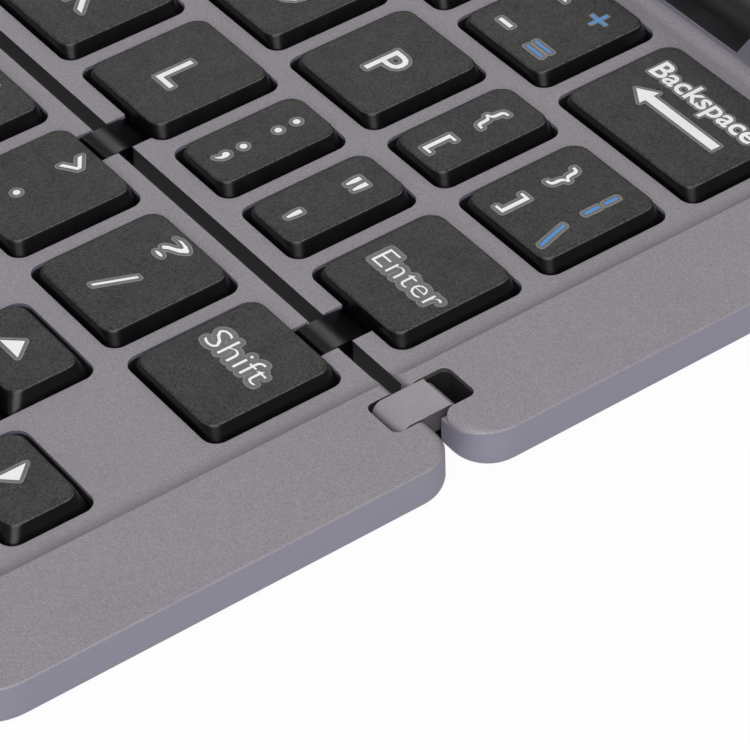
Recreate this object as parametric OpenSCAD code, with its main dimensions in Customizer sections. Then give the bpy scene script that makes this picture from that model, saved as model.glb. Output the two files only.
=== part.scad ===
// Folding keyboard in two halves that close face to face, like a book, on links with two pins each.
// Open and flat on a table: X runs to the right, Y away from the typist, Z up.
// The origin is on the table, under the middle of the open keyboard.
// Inside the modules Y is counted from the fold line; in_place() moves it to the table frame.

/* [Body] */
// Width of both halves
body_w = 237; // [232:1:290]
// Depth of the front half, from the fold line to its front edge
front_d = 51.2; // [50:0.1:62]
// Depth of the rear half, from the fold line to its rear edge
rear_d = 68; // [67.5:0.1:80]
// Thickness of a half at its rails, underside to rail top
body_t = 4.5; // [4.4:0.1:6]
// Thickness of the rubber feet below the underside
foot_t = 0.5; // [0.3:0.1:1.5]
// Gap between the two decks at the fold
fold_gap = 1.6; // [1.2:0.1:2]
// Plan radius of the corners at the fold
fold_corner_r = 4; // [3:0.1:5]
// Plan radius of the outer corners
outer_corner_r = 6; // [3:0.5:10]
// Radius of the underside edge
under_r = 1.5; // [0.5:0.1:1.8]
// Radius of the top edge
edge_r = 0.2; // [0.1:0.1:0.5]
// Radius of the rail ends that face each other across the fold
rail_end_r = 0.9; // [0.8:0.1:1.2]

/* [Deck] */
// Depth of the deck below the rails
deck_drop = 0.8; // [0.5:0.1:1]
// Deck left between the outermost wells and the curve up to the rail
deck_margin = 0.7; // [0.3:0.1:1.5]
// Width of the curve from the deck up to the rail
cove_w = 2.3; // [1.5:0.1:3]

/* [Keys] */
// Key spacing across
pitch_x = 16; // [15.5:0.1:16.2]
// Key spacing from row to row
pitch_y = 16.6; // [16:0.1:16.8]
// Deck left between two wells in a row
web_x = 1.6; // [1.2:0.1:2.5]
// Deck left between two rows of wells
web_y = 2.2; // [1.8:0.1:3]
// Depth of the wells in the space bar's row
last_row_d = 18.6; // [16:0.1:19]
// Fold line to the nearest wells of the rear half
fold_to_rear_row = 2.95; // [2.9:0.05:3.5]
// Fold line to the nearest wells of the front half
fold_to_front_row = 2.65; // [2.6:0.05:3.2]
// Length of a row, in key spacings
row_units = 13.1; // [13:0.1:13.2]
// Width of the narrow punctuation keys, in key spacings
narrow_units = 0.7; // [0.6:0.05:0.8]
// Width of the arrow keys, in key spacings
arrow_units = 0.9; // [0.8:0.05:1]
// Corner radius of the wells
well_r = 1.5; // [0.8:0.1:2]
// Height of the key tops above the deck
key_rise = 1.05; // [0.8:0.05:1.1]
// How far a key travels
key_travel = 1.2; // [0.8:0.1:1.3]
// Height of a keycap, skirt to top
cap_h = 1.9; // [1.6:0.1:2]
// Thickness of a keycap's top
cap_top_t = 0.9; // [0.7:0.1:1.1]
// Clearance between a cap's skirt and its well, at the sides
cap_gap_x = 0.4; // [0.3:0.05:0.6]
// The same, front and back
cap_gap_y = 0.3; // [0.25:0.05:0.5]
// How far the sides of a cap lean in
cap_lean_x = 0.8; // [0.3:0.1:1.1]
// How far the front and back of a cap lean in
cap_lean_y = 0.25; // [0.1:0.05:0.6]

/* [Hinge] */
// Depth of the pin axes below the rail tops
axis_drop = 1.6; // [1.5:0.1:1.8]
// Gap left between the rails when the keyboard is closed
closed_gap = 0.9; // [0.8:0.1:1.2]
// How much nearer the front pins are to the fold line than the rear pins
axis_offset = 0.3; // [0:0.1:0.4]
// Diameter of the hinge pins
pin_dia = 0.8; // [0.6:0.05:0.9]
// Running clearance between a pin and a link's bore, on the radius
pin_clear = 0.05; // [0.02:0.01:0.08]
// Width of the links
link_w = 4.2; // [3.5:0.1:5]
// Clearance at each side of a link
link_clear = 0.2; // [0.1:0.05:0.4]
// Length of pin that sits in the half at each side of a link
pin_seat = 1.9; // [1.2:0.1:2.4]
// Distance of the end links from the middle
end_link_x = 110.75; // [110:0.25:112]
// Places of the inner links, from the middle
inner_link_x = [-97.6, -58.35, 62.05, 97.6];
// How far the end links reach in front of the fold line
link_front = 3.4; // [3.2:0.1:3.6]
// How far the top plate of the end links reaches behind the fold line
link_back = 2.15; // [1.8:0.05:2.2]
// Front end of the slot in the front rail
slot_front = 4.05; // [3.9:0.05:4.5]
// Rear end of the pocket in the rear rail
pocket_back = 4.8; // [4.2:0.1:5.5]

/* [Rear bar] */
// Fold line to the front face of the bar
bar_front = 53.3; // [53:0.1:54]
// Radius of the curve from the deck up to the bar
bar_cove_r = 1.2; // [0.8:0.1:1.2]
// Radius of the bar's top edges
bar_edge_r = 1.2; // [0.6:0.1:1.4]
// Length of the tablet rest, at the lip in front of it
rest_l = 179.6; // [150:0.1:180]
// How far each end of the rest reaches out further for each mm of height
rest_flare = 0.68; // [0:0.02:0.7]
// Height of the lip in front of the rest, above the deck
lip_h = 1.4; // [1.3:0.1:2]
// Thickness of that lip
lip_t = 1.2; // [1:0.1:1.5]
// Thickness of the bar's rear wall
bar_back_t = 2; // [1.8:0.1:3]
// Width of the tablet groove at its floor
groove_w = 5.6; // [5:0.1:5.8]
// How far the groove's rear wall leans back over its height
groove_lean = 1.4; // [0.5:0.1:1.6]
// Thickness of the rest in front of the groove
rest_front_t = 3.4; // [3:0.1:3.5]
// Radius of the rest's front edge
rest_edge_r = 2.4; // [1:0.1:2.6]
// Depth of the groove
groove_h = 4.5; // [4.3:0.1:4.7]

/* [Inside] */
// Thickness of the bottom covers
cover_t = 0.7; // [0.5:0.1:0.8]
// Distance of the bottom covers from the edge
cover_inset = 3; // [2.5:0.1:4]
// Thickness of the steel key plates
plate_t = 0.3; // [0.2:0.05:0.4]
// Thickness of the membrane circuits
membrane_t = 0.25; // [0.15:0.05:0.3]
// Clearance round pieces that drop into the shells
fit = 0.1; // [0.05:0.05:0.2]
// Battery length, depth and height
battery_size = [112, 11, 3.1];
// Circuit board length, depth and thickness
board_size = [46, 10.4, 0.8];
// Place of the charging socket along the bar
socket_x = 97; // [96.5:0.5:98.5]
// Place of the power switch along the bar
switch_x = 106.5; // [106:0.5:107]
// How far the power switch slides
switch_travel = 2; // [1.5:0.1:2.2]
// Width of the flat cable between the halves
cable_w = 10; // [6:0.5:12]

/* [Hidden] */
$fn = 64;
e = 0.01;      // a cutter passes the face that it opens by this much
far = 20;      // and by this much where it opens a whole side
fold_y = (front_d - rear_d) / 2;
under_z = foot_t;
rail_z = foot_t + body_t;
deck_z = rail_z - deck_drop;
cover_z = under_z + cover_t;
floor_z = cover_z + plate_t + membrane_t;
half_gap = fold_gap / 2;
fold_corner_x = body_w / 2 - fold_corner_r;
// A ring of this radius leaves the fold's wall at the corner and fades out where the side begins
rail_ring_r = (2 * fold_corner_r * fold_corner_r - rail_end_r * rail_end_r)
    / (2 * (fold_corner_r - rail_end_r));

// hinge
axis_z = rail_z - axis_drop;
axis_span = 2 * axis_drop + closed_gap;
rear_axis_y = (axis_span + axis_offset) / 2;
front_axis_y = rear_axis_y - axis_span;
pin_r = pin_dia / 2;
bore_r = pin_r + pin_clear;
slot_w = link_w + 2 * link_clear;
slot_floor_z = cover_z + 0.3;
slot_r = 0.8;
link_side_r = 1.4;
pin_l = slot_w + 2 * pin_seat;
link_x = concat([-end_link_x, end_link_x], inner_link_x);

// bar: flush with the underside of the front half when that lies closed on the rear half
bar_z = rail_z + closed_gap + body_t;
lip_z = deck_z + lip_h;
rest_back = rear_d - bar_back_t;
rest_floor_z = rail_z;
groove_y = bar_front + fit + rest_front_t;
groove_z = bar_z - groove_h;
bay_top_z = rest_floor_z - 0.4;
bay_front = bar_front + 0.9;
bay_back = rest_back;
bay_gap = 1;
bar_corner_r = bar_edge_r + 0.1;
groove_end = 3;
socket_z = cover_z + board_size[2] + 1.63;
board_x1 = switch_x + 3.8;
board_x0 = board_x1 - board_size[0];
switch_plate_y = bay_back - 1.1;
switch_knob_w = 2.4;
switch_knob_h = 1.6;

// covers, plates, screws, feet
cover_r = 2;
plate_edge = 2.1;
rear_plate_end = fold_to_rear_row + 3 * pitch_y - web_y + 0.7;
screw_r = 0.8;
screw_head_r = 1.5;
screw_head_h = 0.45;
screw_l = 3.2;
screw_inset = 3;   // from the cover's edge to the screws' axes
foot_w = 14;
foot_d = 4;
foot_x = 92;

// flat cable
cable_t = 0.2;
cable_end = 0.7;     // beyond the pin axes
cable_side = 0.3;
cable_reach = 3.5;
cable_top_z = rail_z - 2.3;

// keys
cap_top_z = deck_z + key_rise;
cap_z = cap_top_z - cap_h;
well_d = pitch_y - web_y;
row_l = row_units * pitch_x;
well_half_l = (row_l - web_x) / 2;
wide_units = row_units - 11 - narrow_units;
caps_units = row_units - 10 - 2 * narrow_units;
shift_units = row_units - 11;
space_units = row_units - 6 - 3 * arrow_units;
half_key_gap = 0.4;
half_key_lean = 0.8;
cap_r = well_r - cap_gap_y;
cove_r = (cove_w * cove_w + deck_drop * deck_drop) / (2 * deck_drop);
rail_in_x = well_half_l + deck_margin + cove_w;
front_deck_end = fold_to_front_row + well_d + web_y + last_row_d + deck_margin;
front_plate_end = front_deck_end + 0.4;
bay_x = row_l / 2 + 1;
screw_x = body_w / 2 - cover_inset - screw_inset;
rear_screw_places = [for (s = [-1, 1], y = [14, 38, rear_d - 10]) [s * screw_x, y]];
front_screw_places = [for (s = [-1, 1], y = [14, front_d - 9]) [s * screw_x, -y]];

REAR = 0;
FRONT = 1;
FULL = 0;
BACK_HALF = 1;
FRONT_HALF = -1;

// Rows from the rear: node name, width in key spacings, how many keys the node holds, part of the row's depth
rows = [
    [["key_backquote", narrow_units, 1, FULL], ["keys_numbers", 1, 9, FULL], ["key_zero", 1, 1, FULL],
     ["key_minus", 1, 1, FULL], ["key_backspace", wide_units, 1, FULL]],
    [["key_tab", wide_units, 1, FULL], ["keys_upper_letters", 1, 8, FULL], ["key_o", 1, 1, FULL],
     ["key_p", 1, 1, FULL], ["key_open_bracket", narrow_units, 1, FULL], ["key_close_bracket", 1, 1, FULL]],
    [["key_caps_lock", caps_units, 1, FULL], ["keys_home_letters", 1, 7, FULL], ["key_k", 1, 1, FULL],
     ["key_l", 1, 1, FULL], ["key_semicolon", narrow_units, 1, FULL], ["key_quote", narrow_units, 1, FULL],
     ["key_enter", 1, 1, FULL]],
    [["key_left_shift", shift_units, 1, FULL], ["keys_lower_letters", 1, 7, FULL], ["key_comma", 1, 1, FULL],
     ["key_period", 1, 1, FULL], ["key_slash", 1, 1, FULL], ["key_right_shift", 1, 1, FULL]],
    [["key_left_ctrl", 1, 1, FULL], ["key_fn", 1, 1, FULL], ["key_menu", 1, 1, FULL],
     ["key_left_alt", 1, 1, FULL], ["key_space", space_units, 1, FULL], ["key_right_alt", 1, 1, FULL],
     ["key_right_ctrl", 1, 1, FULL], ["key_arrow_left", arrow_units, 1, FRONT_HALF],
     ["key_arrow_up", arrow_units, 1, BACK_HALF], ["key_arrow_right", arrow_units, 1, FRONT_HALF]]
];
REAR_ROWS = [0, 1, 2];
FRONT_ROWS = [3, 4];

function span(row, i) = i < 0 ? 0 : row[i][1] * row[i][2] + span(row, i - 1);

// One key: node name, row, left edge of its cell, width of its cell, part of the row's depth
row_keys = [for (r = [0:len(rows) - 1], i = [0:len(rows[r]) - 1], n = [0:rows[r][i][2] - 1])
    [rows[r][i][0], r, (span(rows[r], i - 1) + n * rows[r][i][1]) * pitch_x - row_l / 2,
     rows[r][i][1] * pitch_x, rows[r][i][3]]];
up_key = [for (k = row_keys) if (k[0] == "key_arrow_up") k][0];
keys = concat(row_keys, [["key_arrow_down", up_key[1], up_key[2], up_key[3], FRONT_HALF]]);
KEY_NODES = concat([for (row = rows, k = row) k[0]], ["key_arrow_down"]);

function row_d(r) = r == 4 ? last_row_d : well_d;
function row_y(r) = r < 3 ? fold_to_rear_row + (2 - r) * pitch_y
    : -fold_to_front_row - well_d - (r == 4 ? web_y + last_row_d : 0);

// ---- shared shapes ----

module in_place() translate([0, fold_y, 0]) children();

// A rectangle between two corners
module span_rect(x0, x1, y0, y1) translate([x0, y0]) square([x1 - x0, y1 - y0]);

// A rectangle with rounded corners, between two corners
module round_rect(x0, x1, y0, y1, r) {
    span_rect(x0 + r, x1 - r, y0, y1);
    span_rect(x0, x1, y0 + r, y1 - r);
    for (x = [x0 + r, x1 - r], y = [y0 + r, y1 - r]) translate([x, y]) circle(r);
}

// The waste outside a rounded corner whose tip is at the origin and whose centre is at +X, +Y
module corner_waste(r) difference() {
    translate([-e, -e]) square(r + e);
    translate([r, r]) circle(r);
}

// A YZ profile drawn along X, between two stations
module along_x(x0, x1) translate([x0, 0, 0]) rotate([90, 0, 90]) linear_extrude(x1 - x0) children();

// An XZ profile drawn along Y, between two stations
module along_y(y0, y1) translate([0, y1, 0]) rotate([90, 0, 0]) linear_extrude(y1 - y0) children();

module block(x0, x1, y0, y1, z0, z1) translate([x0, y0, z0]) cube([x1 - x0, y1 - y0, z1 - z0]);

module both_sides() {
    children();
    mirror([1, 0, 0]) children();
}

// Half of a slab's section: the middle at 0, the edge at w, filleted above and below
module edge_section(w, z0, z1, r_top, r_under) difference() {
    span_rect(0, w, z0, z1);
    translate([w, z1]) rotate(180) corner_waste(r_top);
    if (r_under > 0) translate([w, z0]) rotate(90) corner_waste(r_under);
}

// A slab as wide as the body, with its own plan radius at each end
module slab(y0, y1, z0, z1, r0, r1, r_top, r_under) {
    half_w = body_w / 2;
    mid = (y0 + y1) / 2;
    for (end = [[y0 + r0, r0], [y1 - r1, r1]]) both_sides()
        translate([half_w - end[1], end[0], 0])
            rotate_extrude() edge_section(end[1], z0, z1, r_top, r_under);
    both_sides() along_y(y0 + r0, y1 - r1) edge_section(half_w, z0, z1, r_top, r_under);
    translate([0, mid, 0]) along_x(-half_w + r1, half_w - r1)
        edge_section(y1 - mid, z0, z1, r_top, r_under);
    translate([0, mid, 0]) mirror([0, 1, 0]) along_x(-half_w + r0, half_w - r0)
        edge_section(mid - y0, z0, z1, r_top, r_under);
}

// ---- keys ----

function of_rows(list) = [for (k = keys) if (len(search(k[1], list)) > 0) k];
function well_y0(k) = row_y(k[1]);
function well_y1(k) = k[4] == FRONT_HALF && k[0] != "key_arrow_down"
    ? row_y(k[1]) + row_d(k[1]) / 2 : row_y(k[1]) + row_d(k[1]);
function cap_y0(k) = k[4] == BACK_HALF ? well_y0(k) + (row_d(k[1]) + half_key_gap) / 2
    : well_y0(k) + cap_gap_y;
function cap_y1(k) = k[0] == "key_arrow_down" ? well_y0(k) + (row_d(k[1]) - half_key_gap) / 2
    : well_y1(k) - cap_gap_y;

module wells(list) for (k = of_rows(list)) if (k[0] != "key_arrow_down")
    translate([0, 0, floor_z]) linear_extrude(far)
        round_rect(k[2] + web_x / 2, k[2] + k[3] - web_x / 2, well_y0(k), well_y1(k), well_r);

// A hollow cap whose sides lean in towards the top
module cap(x0, x1, y0, y1, lean_x, lean_y) {
    skirt_t = 0.55;
    difference() {
        intersection() {
            translate([0, 0, cap_z]) linear_extrude(cap_h) round_rect(x0, x1, y0, y1, cap_r);
            along_y(y0 - e, y1 + e) polygon([[x0, cap_z - e], [x1, cap_z - e], [x1, cap_z],
                [x1 - lean_x, cap_top_z], [x0 + lean_x, cap_top_z], [x0, cap_z]]);
            along_x(x0 - e, x1 + e) polygon([[y0, cap_z - e], [y1, cap_z - e], [y1, cap_z],
                [y1 - lean_y, cap_top_z], [y0 + lean_y, cap_top_z], [y0, cap_z]]);
        }
        block(x0 + lean_x + skirt_t, x1 - lean_x - skirt_t, y0 + lean_y + skirt_t, y1 - lean_y - skirt_t,
            cap_z - e, cap_top_z - cap_top_t);
    }
}

module key_node(name) color("#3b3b3d") in_place() for (k = keys) if (k[0] == name)
    cap(k[2] + web_x / 2 + cap_gap_x, k[2] + k[3] - web_x / 2 - cap_gap_x, cap_y0(k), cap_y1(k),
        cap_lean_x, k[4] == FULL ? cap_lean_y : half_key_lean);

// Rubber domes under the caps, a hair short of them
module domes(list) {
    air = 0.05;
    dome_h = cap_top_z - cap_top_t - air - floor_z;
    for (k = of_rows(list))
        translate([k[2] + k[3] / 2, (cap_y0(k) + cap_y1(k)) / 2, floor_z])
            rotate_extrude() polygon([[0, 0], [3.2, 0], [3.2, 0.3], [2.5, 0.3], [1.5, dome_h], [0, dome_h]]);
}

// ---- shells ----

// What lies above the deck, between the coves that rise to the rails
module tray_section() {
    span_rect(-well_half_l - deck_margin, well_half_l + deck_margin, deck_z, far);
    for (s = [0, 1]) mirror([s, 0]) {
        intersection() {
            translate([well_half_l + deck_margin, deck_z + cove_r]) circle(cove_r, $fn = 256);
            span_rect(well_half_l + deck_margin - e, rail_in_x, deck_z, rail_z + e);
        }
        span_rect(0, rail_in_x, rail_z, far);
    }
}

// Slots for the end links and notches for the inner links (side is 1 at the rear, -1 in front)
module link_room(side, slot_end, row_start) {
    near = side > 0 ? -far : -slot_end;
    for (s = [-1, 1]) translate([0, 0, slot_floor_z]) linear_extrude(far)
        round_rect(s * end_link_x - slot_w / 2, s * end_link_x + slot_w / 2, near,
            near + slot_end + far, slot_r);
    for (x = inner_link_x) translate([x, side * (row_start + well_r) / 2, floor_z + far / 2])
        cube([slot_w, row_start + well_r, far], center = true);
}

module pin_row(y, r) for (x = link_x) translate([x, y, axis_z]) rotate([0, 90, 0])
    cylinder(r = r, h = pin_l, center = true);

// Rounds the top of the rail ends that face the other half, less and less round the corners
module rail_end_waste() {
    along_x(-fold_corner_x, fold_corner_x) translate([half_gap, rail_z])
        mirror([0, 1]) corner_waste(rail_end_r);
    both_sides() intersection() {
        translate([fold_corner_x, half_gap + rail_ring_r, 0]) rotate_extrude()
            translate([rail_ring_r, rail_z]) rotate(180) corner_waste(rail_end_r);
        block(fold_corner_x, fold_corner_x + rail_ring_r + far, half_gap - far, half_gap + rail_ring_r,
            deck_z - far, far);
    }
}

// A concave fillet that rises from the deck to a wall that starts at y
module deck_cove(y, r) difference() {
    span_rect(y - r, y, deck_z, deck_z + r);
    translate([y - r, deck_z + r]) circle(r, $fn = 256);
}

module screw_holes(places) for (p = places) translate([p[0], p[1], under_z - e])
    cylinder(r = screw_r, h = screw_l + e);

module cover_area(y0, y1, clear) round_rect(-body_w / 2 + cover_inset + clear,
    body_w / 2 - cover_inset - clear, y0 + cover_inset + clear, y1 - cover_inset - clear, cover_r - clear);

module cover_room(y0, y1) translate([0, 0, under_z - e]) linear_extrude(cover_t + e)
    cover_area(y0, y1, 0);

// The way for the flat cable, below the deck
module cable_room(side) translate([0, side * cable_reach / 2, (cover_z + cable_top_z) / 2])
    cube([cable_w + 2 * cable_side, cable_reach, cable_top_z - cover_z], center = true);

// What lies above the deck of the rear half
module rear_tray() difference() {
    along_y(-far, bar_front) tray_section();
    along_x(-body_w, body_w) deck_cove(bar_front, bar_cove_r);
}

// What lies above the deck of the front half, up to the curve along its front rail
module front_tray() intersection() {
    along_y(-front_d, far) tray_section();
    along_x(-body_w, body_w) {
        span_rect(-front_deck_end, far, deck_z, far);
        intersection() {
            translate([-front_deck_end, deck_z + cove_r]) circle(cove_r, $fn = 256);
            span_rect(-front_deck_end - cove_w, -front_deck_end + e, deck_z, rail_z + e);
        }
    }
}

// The bar stands on the rear part of the shell, as wide as the body
module rear_bar() {
    slab(bar_front, rear_d, under_z + under_r + e, bar_z, bar_corner_r, outer_corner_r, bar_edge_r, 0);
    along_x(-rail_in_x, rail_in_x) deck_cove(bar_front + e, bar_cove_r + e);
}

// What lies between the slanted ends of the tablet rest
module rest_ends(clear) along_y(bar_front - e, rest_back) {
    x0 = rest_l / 2 - clear - (lip_z - rest_floor_z) * rest_flare;
    x1 = rest_l / 2 - clear + (bar_z + e - lip_z) * rest_flare;
    polygon([[-x0, rest_floor_z], [x0, rest_floor_z], [x1, bar_z + e], [-x1, bar_z + e]]);
}

// Room for the tablet rest: the bar is cut down behind a low lip
module rest_room() intersection() {
    rest_ends(0);
    along_x(-body_w / 2, body_w / 2) {
        span_rect(bar_front - e, bar_front + lip_t + e, lip_z, bar_z + e);
        span_rect(bar_front + lip_t, rest_back, rest_floor_z, bar_z + e);
    }
}

module battery_room() block(-battery_size[0] / 2 - bay_gap, battery_size[0] / 2 + bay_gap,
    bay_front, bay_back, cover_z - e, bay_top_z);

// Room for the circuit board, higher beside the rest where the socket and the switch are
module board_room() {
    block(board_x0 - bay_gap, board_x1 + fit, bay_front, bay_back, cover_z - e, bay_top_z);
    block(rest_l / 2 + 2, board_x1 + fit, bay_front, bay_back, cover_z - e, socket_z + 2.4);
}

module socket_outline(grow) round_rect(socket_x - 4.47 - grow, socket_x + 4.47 + grow,
    socket_z - 1.63 - grow, socket_z + 1.63 + grow, 1.5 + grow);

module socket_hole() along_y(bay_back - e, rear_d + e) socket_outline(fit);

module switch_hole() {
    half_l = (switch_knob_w + switch_travel) / 2 + fit;
    block(switch_x - half_l, switch_x + half_l, bay_back - e, rear_d + e,
        socket_z - switch_knob_h / 2 - fit, socket_z + switch_knob_h / 2 + fit);
    thumb_w = 7.2;
    along_x(switch_x - thumb_w / 2, switch_x + thumb_w / 2)
        translate([rear_d + 3.4, socket_z]) circle(4);
}

module rear_shell() color("#98939a") in_place() difference() {
    union() {
        difference() {
            slab(half_gap, rear_d, under_z, rail_z, fold_corner_r, outer_corner_r, edge_r, under_r);
            rear_tray();
        }
        rear_bar();
    }
    rail_end_waste();
    both_sides() translate([end_link_x + slot_w / 2 - e, half_gap, deck_z])
        linear_extrude(far) corner_waste(link_side_r);
    wells(REAR_ROWS);
    link_room(1, pocket_back, fold_to_rear_row);
    pin_row(rear_axis_y, pin_r);
    screw_holes(rear_screw_places);
    cover_room(half_gap, rear_d);
    plate_room(REAR);
    cable_room(1);
    rest_room();
    battery_room();
    board_room();
    socket_hole();
    switch_hole();
}

module front_shell() color("#98939a") in_place() difference() {
    slab(-front_d, -half_gap, under_z, rail_z, outer_corner_r, fold_corner_r, edge_r, under_r);
    front_tray();
    mirror([0, 1, 0]) rail_end_waste();
    wells(FRONT_ROWS);
    link_room(-1, slot_front, fold_to_front_row);
    pin_row(front_axis_y, pin_r);
    screw_holes(front_screw_places);
    cover_room(-front_d, -half_gap);
    plate_room(FRONT);
    cable_room(-1);
}

// ---- covers, plates, membranes ----

module plate_outline(half, clear) difference() {
    y0 = half == REAR ? plate_edge : -front_plate_end;
    y1 = half == REAR ? rear_plate_end : -plate_edge;
    span_rect(-bay_x + clear, bay_x - clear, y0 + clear, y1 - clear);
    if (clear > 0) span_rect(-cable_w / 2 - cable_side, cable_w / 2 + cable_side, -cable_reach, cable_reach);
}

module plate_room(half) translate([0, 0, cover_z - e])
    linear_extrude(plate_t + membrane_t + e) plate_outline(half, 0);

module sheet(half, z, t) translate([0, 0, z]) linear_extrude(t) plate_outline(half, fit);

module cover(y0, y1, places) difference() {
    head_slope = (screw_head_r - screw_r) / screw_head_h;
    translate([0, 0, under_z]) linear_extrude(cover_t) cover_area(y0, y1, fit);
    for (p = places) translate([p[0], p[1], under_z - e]) {
        cylinder(r1 = screw_head_r + e * head_slope, r2 = screw_r, h = screw_head_h + e);
        cylinder(r = screw_r, h = screw_l);
    }
}

module screws(places) for (p = places) translate([p[0], p[1], under_z]) difference() {
    union() {
        cylinder(r1 = screw_head_r, r2 = screw_r, h = screw_head_h);
        cylinder(r = screw_r, h = screw_l);
    }
    for (a = [0, 90]) rotate(a) cube([1.6, 0.3, 0.5], center = true);
}

module feet(places) for (p = places) translate([p[0], p[1], 0]) linear_extrude(foot_t)
    round_rect(-foot_w / 2, foot_w / 2, -foot_d / 2, foot_d / 2, foot_d / 2 - e);

module rear_cover() color("#8b878d") in_place() cover(half_gap, rear_d, rear_screw_places);
module front_cover() color("#8b878d") in_place() cover(-front_d, -half_gap, front_screw_places);
module rear_key_plate() color("#b9bcc0") in_place() sheet(REAR, cover_z, plate_t);
module front_key_plate() color("#b9bcc0") in_place() sheet(FRONT, cover_z, plate_t);
module rear_membrane() color("#151517") in_place() sheet(REAR, cover_z + plate_t, membrane_t);
module front_membrane() color("#151517") in_place() sheet(FRONT, cover_z + plate_t, membrane_t);
module rear_domes() color("#d9d9d5") in_place() domes(REAR_ROWS);
module front_domes() color("#d9d9d5") in_place() domes(FRONT_ROWS);
module rear_screws() color("#8d8f93") in_place() screws(rear_screw_places);
module front_screws() color("#8d8f93") in_place() screws(front_screw_places);
module rear_feet() color("#2a2a2c") in_place()
    feet([for (s = [-1, 1], y = [9, rear_d - 6.5]) [s * foot_x, y]]);
module front_feet() color("#2a2a2c") in_place()
    feet([for (s = [-1, 1], y = [9, front_d - 7.5]) [s * foot_x, -y]]);

// ---- hinge ----

module rear_pins() color("#c9cbce") in_place() pin_row(rear_axis_y, pin_r);
module front_pins() color("#c9cbce") in_place() pin_row(front_axis_y, pin_r);

module at_axes() for (y = [front_axis_y, rear_axis_y]) translate([y, axis_z]) children();

// A barrel round each pin, a top plate flush with the rails, a nose that turns in the front slot
module end_link_section() {
    barrel_r = 1;
    nose_r = 1.1;
    top_t = 1;
    web_under = 0.6;
    difference() {
        union() {
            at_axes() circle(barrel_r);
            span_rect(-link_front, link_back, rail_z - top_t, rail_z);
            span_rect(-link_front, front_axis_y, axis_z - web_under, rail_z);
            span_rect(front_axis_y, rear_axis_y, axis_z - web_under, rail_z - top_t + e);
        }
        translate([-link_front, rail_z]) mirror([0, 1]) corner_waste(nose_r);
        translate([-link_front, axis_z - web_under]) corner_waste(web_under);
        at_axes() circle(bore_r);
    }
}

module end_link(x) along_x(x - link_w / 2, x + link_w / 2) end_link_section();

// The same link without the top plate: a low web with a crowned top, just below the deck
module inner_link_section() {
    barrel_r = bore_r + 0.2;
    crown_z = deck_z - 0.05;
    sag = crown_z - axis_z - barrel_r;
    crown_r = (axis_span * axis_span / 4 + sag * sag) / (2 * sag);
    difference() {
        union() {
            at_axes() circle(barrel_r);
            intersection() {
                translate([(front_axis_y + rear_axis_y) / 2, crown_z - crown_r])
                    circle(crown_r, $fn = 256);
                span_rect(front_axis_y, rear_axis_y, axis_z - barrel_r, deck_z);
            }
        }
        at_axes() circle(bore_r);
    }
}

module left_end_link() color("#a29ea2") in_place() end_link(-end_link_x);
module right_end_link() color("#a29ea2") in_place() end_link(end_link_x);
module inner_links() color("#232427") in_place() for (x = inner_link_x)
    along_x(x - link_w / 2, x + link_w / 2) inner_link_section();

// A flat cable below the links, level with the membranes, which turns with the links round the spine
module flat_cable() color("#3a2a18") in_place() block(-cable_w / 2, cable_w / 2,
    front_axis_y - cable_end, rear_axis_y + cable_end, floor_z - cable_t, floor_z);

// ---- rear bar ----

// A black moulding with a rounded front edge and a groove that a tablet or phone stands in
module tablet_rest() color("#242528") in_place() difference() {
    groove_top_w = groove_w + groove_lean;
    intersection() {
        rest_ends(fit);
        along_x(-body_w / 2, body_w / 2) difference() {
            union() {
                span_rect(bar_front, rest_back - fit, lip_z + fit, bar_z);
                span_rect(bar_front + lip_t + fit, rest_back - fit, rest_floor_z, bar_z);
            }
            translate([bar_front, bar_z]) mirror([0, 1]) corner_waste(rest_edge_r);
            translate([rest_back - fit, bar_z]) rotate(180) corner_waste(edge_r);
        }
    }
    along_x(-rest_l / 2 + groove_end, rest_l / 2 - groove_end) {
        polygon([[groove_y, groove_z], [groove_y + groove_w, groove_z],
            [groove_y + groove_top_w, bar_z], [groove_y + groove_top_w, bar_z + e], [groove_y, bar_z + e]]);
        translate([groove_y, bar_z]) mirror([1, 1]) corner_waste(edge_r);
    }
}

module battery() color("#5f6b73") in_place() {
    y0 = (bay_front + bay_back - battery_size[1]) / 2;
    guard_l = 4;
    along_x(-battery_size[0] / 2 + guard_l, battery_size[0] / 2)
        round_rect(y0, y0 + battery_size[1], cover_z, cover_z + battery_size[2], 1.2);
    block(-battery_size[0] / 2, -battery_size[0] / 2 + guard_l + e, y0 + 0.5, y0 + battery_size[1] - 0.5,
        cover_z, cover_z + 1.2);
}

// Board with its soldered parts: processor, radio module, crystal, battery plug, switch housing
module circuit_board() color("#2f6b46") in_place() {
    y0 = bay_front + 0.3;
    top_z = cover_z + board_size[2];
    block(board_x0, board_x1, y0, y0 + board_size[1], cover_z, top_z);
    block(board_x0 + 9, board_x0 + 15, y0 + 2, y0 + 8, top_z - e, top_z + 0.9);
    block(board_x0 + 17.5, board_x0 + 25, y0 + 1, y0 + 9.4, top_z - e, top_z + 1.4);
    block(board_x0 + 5.6, board_x0 + 7.8, y0 + 3.5, y0 + 6.7, top_z - e, top_z + 0.7);
    block(board_x0 + 0.5, board_x0 + 4.5, y0 + 2.5, y0 + 7.5, top_z - e, top_z + 1.8);
    block(switch_x - 3.4, switch_x + 3.4, y0 + 5.5, switch_plate_y - fit, top_z - e, socket_z + 1.2);
}

// A metal tube with a tongue inside, open to the rear
module charging_socket() color("#c4c6c9") in_place() {
    mouth_y = rear_d - 0.1;
    difference() {
        along_y(mouth_y - 7.3, mouth_y) socket_outline(0);
        along_y(mouth_y - 6.5, mouth_y + e) socket_outline(-0.3);
    }
    block(socket_x - 3.34, socket_x + 3.34, mouth_y - 6.6, mouth_y - 1.4, socket_z - 0.35, socket_z + 0.35);
}

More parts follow.
